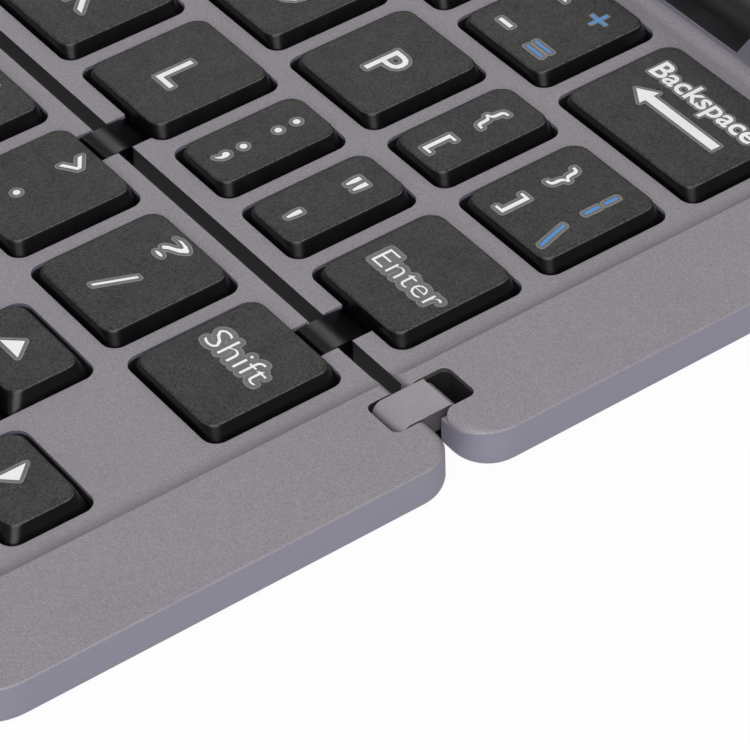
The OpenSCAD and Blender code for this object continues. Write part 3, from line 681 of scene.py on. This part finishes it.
@dataclass
class Region:
    """A flat patch on a key top, as points and the faces between them."""

    points: list[Vector]
    faces: list[list[int]]
    smallest_area: float = 1e-5      # smaller faces are left out
    smallest_edge: float = 1e-4      # shorter edges don't grow
    merge_angle: float = 1.0         # degrees between faces that become one

    def placed(self, at: tuple[float, float], width: float, height: float) -> "Region":
        """Moves the patch's middle to a point.

        Args:
            at: where its middle goes.
            width: its new width, or 0 to keep its own.
            height: its new height, or 0 to keep its own.

        Returns:
            The patch in its place.
        """
        low = Vector((min(p.x for p in self.points), min(p.y for p in self.points)))
        high = Vector((max(p.x for p in self.points), max(p.y for p in self.points)))
        size, middle = high - low, (low + high) / 2
        scale_x = width / size.x if width else 1.0
        scale_y = height / size.y if height else 1.0
        moved = [Vector(((p.x - middle.x) * scale_x + at[0], (p.y - middle.y) * scale_y + at[1]))
                 for p in self.points]
        return Region(moved, self.faces)

    def shifted(self, x: float, y: float) -> "Region":
        """Returns the patch moved by a step."""
        return Region([Vector((p.x + x, p.y + y)) for p in self.points], self.faces)

    def border(self) -> list[tuple[int, int]]:
        """Finds the edges that only one face has.

        Returns:
            The numbers of each edge's two points.
        """
        seen: dict[tuple[int, int], int] = {}
        for face in self.faces:
            for a, b in zip(face, face[1:] + face[:1]):
                key = (min(a, b), max(a, b))
                seen[key] = seen.get(key, 0) + 1
        return [edge for edge, count in seen.items() if count == 1]

    def area(self, face: list[int]) -> float:
        """Returns a face's area, positive where it runs counterclockwise."""
        corners = [self.points[i] for i in face]
        return sum(a.cross(b) for a, b in zip(corners, corners[1:] + corners[:1])) / 2

    def joined(self) -> "Region":
        """Makes overlapping faces one and merges flat neighbours.

        Returns:
            The patch in as few faces as it needs.
        """
        inside_only, tolerance = 1, 1e-5
        whole = [face for face in self.faces if self.area(face) > self.smallest_area]
        verts, _, faces, _, _, origin = delaunay_2d_cdt(self.points, [], whole, inside_only, tolerance, True)
        draft = bmesh.new()
        made = [draft.verts.new((p.x, p.y, 0)) for p in verts]
        for face, sources in zip(faces, origin):
            if sources:
                draft.faces.new([made[i] for i in face])
        draft.normal_update()
        bmesh.ops.dissolve_limit(
            draft, angle_limit=math.radians(self.merge_angle), verts=draft.verts, edges=draft.edges,
            use_dissolve_boundaries=False)
        bmesh.ops.delete(draft, geom=[v for v in draft.verts if not v.link_faces], context="VERTS")
        draft.verts.index_update()
        region = Region([v.co.xy for v in draft.verts], [[v.index for v in f.verts] for f in draft.faces])
        draft.free()
        return region

    def grown(self, margin: float, steps: int = 5) -> "Region":
        """Widens the patch by a margin all round, with round corners.

        Args:
            margin: how far it grows.
            steps: how many parts each half circle has.

        Returns:
            The wider patch.
        """
        points = list(self.points)
        faces = [list(face) for face in self.faces]
        for a, b in self.border():
            start, end = self.points[a], self.points[b]
            if (end - start).length < self.smallest_edge:
                continue
            lean = math.atan2(end.y - start.y, end.x - start.x)
            face = []
            for centre, first in ((end, lean - math.pi / 2), (start, lean + math.pi / 2)):
                for i in range(steps + 1):
                    angle = first + math.pi * i / steps
                    face.append(len(points))
                    points.append(centre + margin * Vector((math.cos(angle), math.sin(angle))))
            faces.append(face)
        return Region(points, faces).joined()


@dataclass(frozen=True)
class Mark:
    """A character or a word: its capital height, its place from the middle of the key top, its ink."""

    text: str
    capital: float
    at: tuple[float, float] = (0.0, 0.0)
    width: float = 0.0          # 0 keeps the typeface's own
    height: float = 0.0         # the same
    ink: Coat = Coat.WHITE
    weight: float = 0.0         # how far the strokes' outline moves out
    halo: float = 0.3           # width of the haze round the ink
    capital_share: float = 0.69     # capital height in parts of the typeface's size
    curve_steps: int = 3

    def region(self) -> Region:
        """Draws the characters flat.

        Returns:
            The patch that the ink covers.
        """
        curve = bpy.data.curves.new("print", "FONT")
        curve.body = self.text
        curve.size = self.capital / self.capital_share
        curve.offset = self.weight
        curve.resolution_u = self.curve_steps
        holder = bpy.data.objects.new("print", curve)
        bpy.context.scene.collection.objects.link(holder)
        shown = holder.evaluated_get(bpy.context.evaluated_depsgraph_get())
        flat = bpy.data.meshes.new_from_object(shown)
        region = Region([v.co.xy for v in flat.vertices], [list(p.vertices) for p in flat.polygons])
        bpy.data.objects.remove(holder)
        bpy.data.curves.remove(curve)
        bpy.data.meshes.remove(flat)
        return region.joined().placed(self.at, self.width, self.height)


@dataclass(frozen=True)
class Arrow(Mark):
    """A printed arrow, drawn from the points of its outline."""

    outline: tuple[tuple[float, float], ...] = ()

    def region(self) -> Region:
        """Returns the outline as a patch."""
        points = [Vector(p) for p in self.outline]
        return Region(points, [list(range(len(points)))]).placed(self.at, self.width, self.height)


WIDE_HALO = 0.42    # round the words, whose haze is broader

# Outlines of the arrows; each is stretched to its size where it is used
UP = ((0, 0), (1, 0), (0.5, 1))
DOWN = ((0, 1), (0.5, 0), (1, 1))
RIGHT = ((0, 0), (1, 0.5), (0, 1))
LEFT = ((0, 0.5), (1, 0), (1, 1))
BACK = ((0, 1.2), (2, 0), (2, 0.7), (11.8, 0.7), (11.8, 1.7), (2, 1.7), (2, 2.4))


def letter(character: str) -> list[Mark]:
    """Returns the marks of a letter key."""
    return [Mark(character, 4.1, (0.55, -0.27))]


def pair(upper: str, lower: str) -> list[Mark]:
    """Returns the marks of a key with two characters."""
    return [Mark(upper, 2.8, (-0.3, 4.0)), Mark(lower, 3.6, (-0.1, -2.2))]


def word(text: str, capital: float = 2.4) -> list[Mark]:
    """Returns the mark of a named key."""
    return [Mark(text, capital, halo=WIDE_HALO)]


def small_arrow(outline: tuple[tuple[float, float], ...], width: float, height: float) -> list[Mark]:
    """Returns the mark of an arrow key."""
    return [Arrow("", 0.0, (-0.2, 0.3), width, height, outline=outline)]


# Marks of each node's keys, from left to right. Their places and sizes were measured on the keys in the
# photograph, in millimetres; keys outside it follow their neighbours.
LEGENDS: dict[str, list[list[Mark]]] = {
    "key_backquote": [[Mark("~", 3.0, (0, 3.4)), Mark("`", 3.6, (0, -2.6))]],
    "keys_numbers": [pair(upper, lower) for upper, lower in zip("!@#$%^&*(", "123456789")],
    "key_zero": [pair(")", "0")],
    "key_minus": [[
        Mark("_", 3.0, (-2.6, 2.7), 1.9), Mark("-", 3.0, (-2.6, -4.0), 1.8, 0.45),
        Mark("+", 3.0, (2.7, 3.3), 2.2, 2.2, Coat.BLUE, -0.05, 0.06),
        Mark("=", 3.0, (2.8, -4.1), 2.4, 1.3, Coat.BLUE, -0.06)]],
    "key_backspace": [[
        Mark("Backspace", 2.3, (0.1, 2.7), 14.6, weight=0.06, halo=0.16),
        Arrow("", 0.0, (0.1, -0.65), halo=0.25, outline=BACK)]],
    "key_tab": [word("Tab")],
    "keys_upper_letters": [letter(c) for c in "QWERTYUI"],
    "key_o": [letter("O")],
    "key_p": [letter("P")],
    "key_open_bracket": [[Mark("{", 3.4, (-0.2, 2.3), 0, 3.4), Mark("[", 3.4, (-0.1, -3.8), 0, 3.2)]],
    "key_close_bracket": [[
        Mark("}", 3.4, (-2.4, 2.2), 0, 3.4), Mark("]", 3.4, (-2.5, -3.8), 0, 3.2),
        Mark("¦", 3.0, (2.9, 2.3), 0, 3.8, Coat.BLUE), Mark("\\", 3.4, (3.5, -3.8), 0, 3.4, Coat.BLUE)]],
    "key_caps_lock": [word("Caps Lock", 2.2)],
    "keys_home_letters": [letter(c) for c in "ASDFGHJ"],
    "key_k": [letter("K")],
    "key_l": [letter("L")],
    "key_semicolon": [[Mark(":", 4.2, (0, 3.2)), Mark(";", 4.2, (0, -3.2))]],
    "key_quote": [[Mark('"', 4.2, (0, 3.2), 0, 1.6), Mark("'", 4.2, (0, -3.9), 0, 1.6)]],
    "key_enter": [[Mark("Enter", 2.4, (0.45, -1.0), 8.9, weight=-0.05, halo=WIDE_HALO)]],
    "key_left_shift": [[Mark("Shift", 2.5, (-0.3, 0.8), weight=-0.05, halo=WIDE_HALO)]],
    "keys_lower_letters": [letter(c) for c in "ZXCVBNM"],
    "key_comma": [pair("<", ",")],
    "key_period": [[Mark(">", 3.4, (-0.3, 4.2), 1.6, 2.6), Mark(".", 4.2, (-0.2, -2.3))]],
    "key_slash": [[
        Mark("?", 2.8, (-0.2, 4.4), 2.5, 2.8, weight=-0.08),
        Mark("/", 3.4, (0.2, -2.1), 2.0, 3.9, weight=-0.08)]],
    "key_right_shift": [[Mark("Shift", 2.5, (-0.3, 0.8), 7.9, weight=-0.05, halo=WIDE_HALO)]],
    "key_left_ctrl": [word("Ctrl")],
    "key_fn": [[Mark("Fn", 2.4, ink=Coat.BLUE, halo=WIDE_HALO)]],
    "key_menu": [word("Menu", 2.2)],
    "key_left_alt": [word("Alt")],
    "key_space": [[]],
    "key_right_alt": [word("Alt")],
    "key_right_ctrl": [word("Ctrl")],
    "key_arrow_left": [small_arrow(LEFT, 1.5, 3.0)],
    "key_arrow_up": [small_arrow(UP, 3.0, 1.7)],
    "key_arrow_right": [small_arrow(RIGHT, 1.5, 3.2)],
    "key_arrow_down": [small_arrow(DOWN, 3.0, 1.7)],
}


# ---- sub-assemblies ----


class CapFace(Enum):
    """The parts of a cap that differ in finish, by the number of their material."""

    TOP = 0
    SIDE = 1


@dataclass
class Keycap:
    """One hollow cap: its skirt's outline, its foot and top, and how its sides lean in."""

    x0: float
    x1: float
    y0: float
    y1: float
    z0: float
    z1: float
    lean_x: float = 0.8             # how far the left and right sides lean in
    lean_y: float = 0.25            # how far the front and rear sides lean in
    skirt_radius: float = 1.2
    top_radius: float = 1.5
    fillet: float = 0.26            # between the sides and the top
    fillet_steps: int = 5
    wall: float = 0.8               # at the roof
    foot_wall: float = 0.56
    roof: float = 0.9
    hollow_lean: float = 0.4        # the hollow's lean in parts of the sides'
    hollow_foot_radius: float = 0.7
    hollow_roof_radius: float = 0.6

    def outline(self, inset_x: float, inset_y: float, radius: float) -> list[Vector]:
        """Returns the skirt's outline, drawn in on all sides."""
        return rounded(self.x0 + inset_x, self.x1 - inset_x, self.y0 + inset_y, self.y1 - inset_y, radius)

    def build(self, draft: Draft) -> None:
        """Adds the cap's outside, its rounded edge, its top and its hollow.

        Args:
            draft: what the cap is added to.
        """
        side, top = CapFace.SIDE.value, CapFace.TOP.value
        height = self.z1 - self.z0
        straight = (height - self.fillet) / height
        # Sides, drawn in evenly up to the rounded edge
        loops = []
        for share in (0.0, 0.5, 1.0):
            lean = straight * share
            radius = self.skirt_radius + (self.top_radius - self.skirt_radius) * share
            loops.append(draft.loop(self.outline(self.lean_x * lean, self.lean_y * lean, radius),
                                    self.z0 + height * lean))
        # Rounded edge, whose upper half has the top's finish
        for i in range(1, self.fillet_steps + 1):
            angle = math.radians(90 * i / self.fillet_steps)
            inward, rise = self.fillet * (1 - math.cos(angle)), self.fillet * math.sin(angle)
            lean = straight + (1 - straight) * i / self.fillet_steps
            loops.append(draft.loop(
                self.outline(self.lean_x * lean + inward, self.lean_y * lean + inward, self.top_radius),
                self.z1 - self.fillet + rise))
        for i, (lower, upper) in enumerate(zip(loops, loops[1:])):
            draft.skin(lower, upper, side if i < 2 + self.fillet_steps // 2 else top)
        draft.lid(loops[-1], top)
        # Hollow, open below
        inner_foot = draft.loop(
            self.outline(self.foot_wall, self.foot_wall, self.hollow_foot_radius), self.z0)
        wall_x = self.wall + self.lean_x * self.hollow_lean
        wall_y = self.wall + self.lean_y * self.hollow_lean
        inner_roof = draft.loop(self.outline(wall_x, wall_y, self.hollow_roof_radius), self.z1 - self.roof)
        draft.skin(loops[0], inner_foot, side)
        draft.skin(inner_foot, inner_roof, side)
        draft.lid(inner_roof, side)

    def middle(self) -> tuple[float, float]:
        """Returns the middle of the top."""
        return (self.x0 + self.x1) / 2, (self.y0 + self.y1) / 2


@dataclass
class KeySet:
    """All keycaps and the print on them."""

    pitch: float = 16.0             # between the keys of one node
    half_depth: float = 10.0        # keys less deep than this are the low arrow keys
    half_lean: float = 0.8          # their front and rear sides' lean
    print_sink: float = 0.05        # how far the layers of print reach into the cap
    rim_margin: float = 0.09        # width of the rim round the haze
    rim_rise: float = 0.008         # height above the cap of the rim,
    halo_rise: float = 0.014        # of the haze
    ink_rise: float = 0.024         # and of the ink
    drawn: dict[Mark, tuple[Region, Region, Region]] = field(default_factory=dict)

    def caps(self, node: str) -> list[Keycap]:
        """Lays out a node's caps from its box in the construction model.

        Args:
            node: the node.

        Returns:
            Its caps, from left to right.
        """
        low, high = (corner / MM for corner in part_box(node))
        count = len(LEGENDS[node])
        lean_y = self.half_lean if high.y - low.y < self.half_depth else Keycap.lean_y
        width = high.x - low.x - (count - 1) * self.pitch
        return [Keycap(low.x + i * self.pitch, low.x + i * self.pitch + width, low.y, high.y, low.z, high.z,
                       lean_y=lean_y) for i in range(count)]

    def layers(self, mark: Mark) -> tuple[Region, Region, Region]:
        """Draws a mark's layers about the middle of a key, once for each mark.

        Args:
            mark: the mark.

        Returns:
            Its ink, its halo and the halo's rim.
        """
        if mark not in self.drawn:
            ink = mark.region()
            self.drawn[mark] = (ink, ink.grown(mark.halo), ink.grown(mark.halo + self.rim_margin))
        return self.drawn[mark]

    def print_node(self, node: str, wardrobe: Wardrobe) -> None:
        """Builds the print on one node's caps.

        Args:
            node: the node whose caps carry it.
            wardrobe: where the inks come from.
        """
        draft = Draft("print_" + node)
        for cap, marks in zip(self.caps(node), LEGENDS[node]):
            x, y = cap.middle()
            for mark in marks:
                ink, halo, rim = (region.shifted(x, y) for region in self.layers(mark))
                bottom = cap.z1 - self.print_sink
                draft.plate(rim, cap.z1 + self.rim_rise, bottom, Coat.RIM.value)
                draft.plate(halo, cap.z1 + self.halo_rise, bottom, Coat.HAZE.value)
                draft.plate(ink, cap.z1 + self.ink_rise, bottom, mark.ink.value)
        wardrobe.dress(draft.object(node), HALO_RIM, HALO, INK_WHITE, INK_BLUE)

    def build(self, wardrobe: Wardrobe) -> None:
        """Builds every node's caps and print.

        Args:
            wardrobe: where the finishes come from.
        """
        for node, keys in LEGENDS.items():
            draft = Draft("cap_" + node)
            for cap in self.caps(node):
                cap.build(draft)
            made = draft.object(node)
            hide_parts(node)
            wardrobe.dress(made, CAP_TOP, CAP_SIDE)
            if any(keys):
                self.print_node(node, wardrobe)


@dataclass
class DomeSheet:
    """The rubber domes under the caps: a foot, a cone that gives way and a flat head."""

    travel: float = 1.2     # the keys' travel
    sides: int = 24
    # Radius and height of each ring; the last two are counted from the top and the others from the foot
    outline: tuple[tuple[float, float], ...] = (
        (3.2, 0.0), (3.2, 0.2), (3.1, 0.3), (2.6, 0.3), (2.45, 0.42), (1.6, -0.14), (1.45, 0.0))
    head_rings: int = 2

    def add_dome(self, draft: Draft, middle: tuple[float, float], foot: float, head: float) -> None:
        """Adds one dome.

        Args:
            draft: what it is added to.
            middle: its place.
            foot: the height that it stands on.
            head: the height of its top.
        """
        rings = []
        turns = [math.tau * k / self.sides for k in range(self.sides)]
        for i, (radius, rise) in enumerate(self.outline):
            level = foot + rise if i < len(self.outline) - self.head_rings else head + rise
            ring = [Vector((middle[0] + radius * math.cos(turn), middle[1] + radius * math.sin(turn)))
                    for turn in turns]
            rings.append(draft.loop(ring, level))
        for lower, upper in zip(rings, rings[1:]):
            draft.skin(lower, upper)
        draft.lid(rings[0])
        draft.lid(rings[-1])

    def build(self, wardrobe: Wardrobe) -> None:
        """Builds each key's dome.

        Args:
            wardrobe: where the finish comes from.
        """
        caps_of = KeySet().caps
        for node in LEGENDS:
            half = "rear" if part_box(node)[0].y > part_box("front_domes")[1].y else "front"
            low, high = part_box(half + "_domes")
            draft = Draft("domes_" + node)
            for cap in caps_of(node):
                self.add_dome(draft, cap.middle(), low.z / MM, high.z / MM)
            made = draft.object(half + "_half")
            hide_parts(half + "_domes")
            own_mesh(made)
            wardrobe.dress(made, DOME)


@dataclass(frozen=True)
class Dressed:
    """A sub-assembly that keeps the construction model's meshes and gets its finishes here."""

    title: str
    finishes: dict[str, Finish]

    def build(self, wardrobe: Wardrobe) -> None:
        """Dresses each node.

        Args:
            wardrobe: where the finishes come from.
        """
        log.info("%s: %d nodes", self.title, len(self.finishes))
        for node, finish in self.finishes.items():
            wardrobe.dress(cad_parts[node], finish)


class Halves(Dressed):
    """The two aluminium halves with their covers and what holds and carries them."""

    def __init__(self) -> None:
        """Names the nodes."""
        super().__init__("halves", {
            "rear_shell": HALF_SHELL, "front_shell": HALF_SHELL, "rear_cover": COVER, "front_cover": COVER,
            "rear_screws": SCREW, "front_screws": SCREW, "rear_feet": FOOT, "front_feet": FOOT})


class Fold(Dressed):
    """The links between the halves, their pins and the flat cable below them."""

    def __init__(self) -> None:
        """Names the nodes."""
        super().__init__("fold", {
            "left_end_link": END_LINK, "right_end_link": END_LINK, "inner_links": INNER_LINK,
            "rear_pins": PIN, "front_pins": PIN, "flat_cable": CABLE})


class KeyBed(Dressed):
    """What lies under the keys and their domes: steel plates and membranes."""

    def __init__(self) -> None:
        """Names the nodes."""
        super().__init__("key bed", {
            "rear_key_plate": KEY_PLATE, "front_key_plate": KEY_PLATE, "rear_membrane": MEMBRANE,
            "front_membrane": MEMBRANE})


class Bar(Dressed):
    """The rear bar's rest and what is inside the bar."""

    def __init__(self) -> None:
        """Names the nodes."""
        super().__init__("bar", {
            "tablet_rest": REST, "battery": BATTERY, "circuit_board": BOARD, "charging_socket": SOCKET,
            "power_switch": SWITCH})


@dataclass(frozen=True)
class Softbox:
    """One square soft light, turned towards the middle of the table plane."""

    name: str
    toward: tuple[float, float, float]      # direction from the middle to the light
    size: float
    power: float                            # watts
    distance: float = 1200.0

    def hang(self) -> None:
        """Adds the light to the scene."""
        data = bpy.data.lights.new(self.name, "AREA")
        data.shape = "SQUARE"
        data.size = self.size * MM
        data.energy = self.power
        made = bpy.data.objects.new(self.name, data)
        toward = Vector(self.toward)
        made.location = toward.normalized() * self.distance * MM
        made.rotation_mode = "QUATERNION"
        made.rotation_quaternion = (-toward).to_track_quat("-Z", "Y")
        bpy.context.scene.collection.objects.link(made)


@dataclass
class Studio:
    """A white sweep under soft light, and the camera at the photograph's angle."""

    # What the camera looks at, beside the right end of the fold
    aim: Vector = field(default_factory=lambda: Vector((104.9, -8.75, 4.2)))
    distance: float = 352.5         # from the aim to the camera
    azimuth: float = 55.77          # degrees from the front to the right
    elevation: float = 41.26        # degrees above the table
    roll: float = -2.58             # degrees
    lens: float = 192.6
    sensor: float = 36.0
    nearest: float = 10.0           # the camera sees between these distances
    farthest: float = 20000.0
    floor_radius: float = 3000.0
    floor_sides: int = 96
    floor_colour: str = "#f0f0f0"
    floor_glow: float = 0.95        # how white the floor is to the camera, whatever the light
    floor_mirror: float = 0.65      # the same where a glossy face mirrors it
    surround: str = "#ffffff"
    horizon: float = 0.2            # strength of the surround's light from the side
    zenith: float = 0.38            # and from overhead
    softboxes: tuple[Softbox, ...] = (
        Softbox("main_softbox", (0.66, -0.42, 0.62), 900, 12.7),
        Softbox("rear_left_softbox", (-0.62, 0.42, 0.66), 700, 1.6),
        Softbox("front_left_softbox", (-0.62, -0.62, 0.45), 600, 0.5),
    )

    def camera(self) -> None:
        """Sets the camera."""
        a, e = math.radians(self.azimuth), math.radians(self.elevation)
        back = Vector((math.sin(a) * math.cos(e), -math.cos(a) * math.cos(e), math.sin(e)))
        data = bpy.data.cameras.new("camera")
        data.lens = self.lens
        data.sensor_width = self.sensor
        data.clip_start = self.nearest * MM
        data.clip_end = self.farthest * MM
        made = bpy.data.objects.new("camera", data)
        made.rotation_mode = "QUATERNION"
        turn = Quaternion((0, 0, 1), math.radians(self.roll))
        made.rotation_quaternion = (-back).to_track_quat("-Z", "Y") @ turn
        made.location = (self.aim + back * self.distance) * MM
        bpy.context.scene.collection.objects.link(made)
        bpy.context.scene.camera = made

    def floor(self) -> None:
        """Lays the floor: white to the camera, with the object's shadow on it."""
        draft = bmesh.new()
        bmesh.ops.create_circle(
            draft, cap_ends=True, segments=self.floor_sides, radius=self.floor_radius * MM)
        data = bpy.data.meshes.new("floor")
        draft.to_mesh(data)
        draft.free()
        made = bpy.data.objects.new("floor", data)
        bpy.context.scene.collection.objects.link(made)
        paper = bpy.data.materials.new("paper_matt_white")
        paper.use_nodes = True
        tree = paper.node_tree
        tree.nodes.clear()
        rays = add(tree, "LightPath").outputs
        mirrored = add(tree, "Math", {0: rays["Is Glossy Ray"], 1: self.floor_mirror}, operation="MULTIPLY")
        share = add(tree, "Mix", {SHARE: rays["Is Camera Ray"], VALUE_A: mirrored.outputs[0],
                                  VALUE_B: self.floor_glow})
        matt = add(tree, "BsdfDiffuse", {"Color": linear(self.floor_colour)})
        glow = add(tree, "Emission", {"Color": linear(self.surround), "Strength": 1.0})
        both = add(tree, "MixShader", {0: share.outputs[0], 1: matt.outputs[0], 2: glow.outputs[0]})
        add(tree, "OutputMaterial", {"Surface": both.outputs[0]})
        data.materials.append(paper)
        made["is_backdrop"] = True

    def world(self) -> None:
        """Sets a white surround for the camera and a dimmer one, brighter overhead, for the light."""
        world = bpy.data.worlds.new("white_surround")
        bpy.context.scene.world = world
        world.use_nodes = True
        tree = world.node_tree
        tree.nodes.clear()
        rays = add(tree, "LightPath").outputs
        height = add(tree, "SeparateXYZ", {0: add(tree, "TexCoord").outputs["Generated"]}).outputs["Z"]
        light = add(tree, "MapRange", {"Value": height, "To Min": self.horizon, "To Max": self.zenith})
        level = add(tree, "Mix", {SHARE: rays["Is Camera Ray"], VALUE_A: light.outputs[0], VALUE_B: 1.0})
        glow = add(tree, "Background", {"Color": linear(self.surround), "Strength": level.outputs[0]})
        add(tree, "OutputWorld", {"Surface": glow.outputs[0]})

    def build(self) -> None:
        """Sets up the camera, the floor, the surround and the lights."""
        self.camera()
        self.floor()
        self.world()
        for light in self.softboxes:
            light.hang()
        log.info("studio: %d softboxes, lens %.1f mm", len(self.softboxes), self.lens)


def corners() -> list[list[float]]:
    """Returns the object's lowest and highest corner, in metres."""
    bpy.context.view_layer.update()
    return [list(corner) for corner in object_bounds()]


def main() -> None:
    """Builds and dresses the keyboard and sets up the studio."""
    logging.basicConfig(level=logging.INFO, format="%(message)s")
    construction_box = corners()
    scene = bpy.context.scene
    scene.view_settings.view_transform = "Standard"
    wardrobe = Wardrobe()
    for assembly in (Halves(), Fold(), KeyBed(), Bar(), DomeSheet(), KeySet()):
        assembly.build(wardrobe)
    Studio().build()
    corners()


if __name__ == "__main__":
    main()
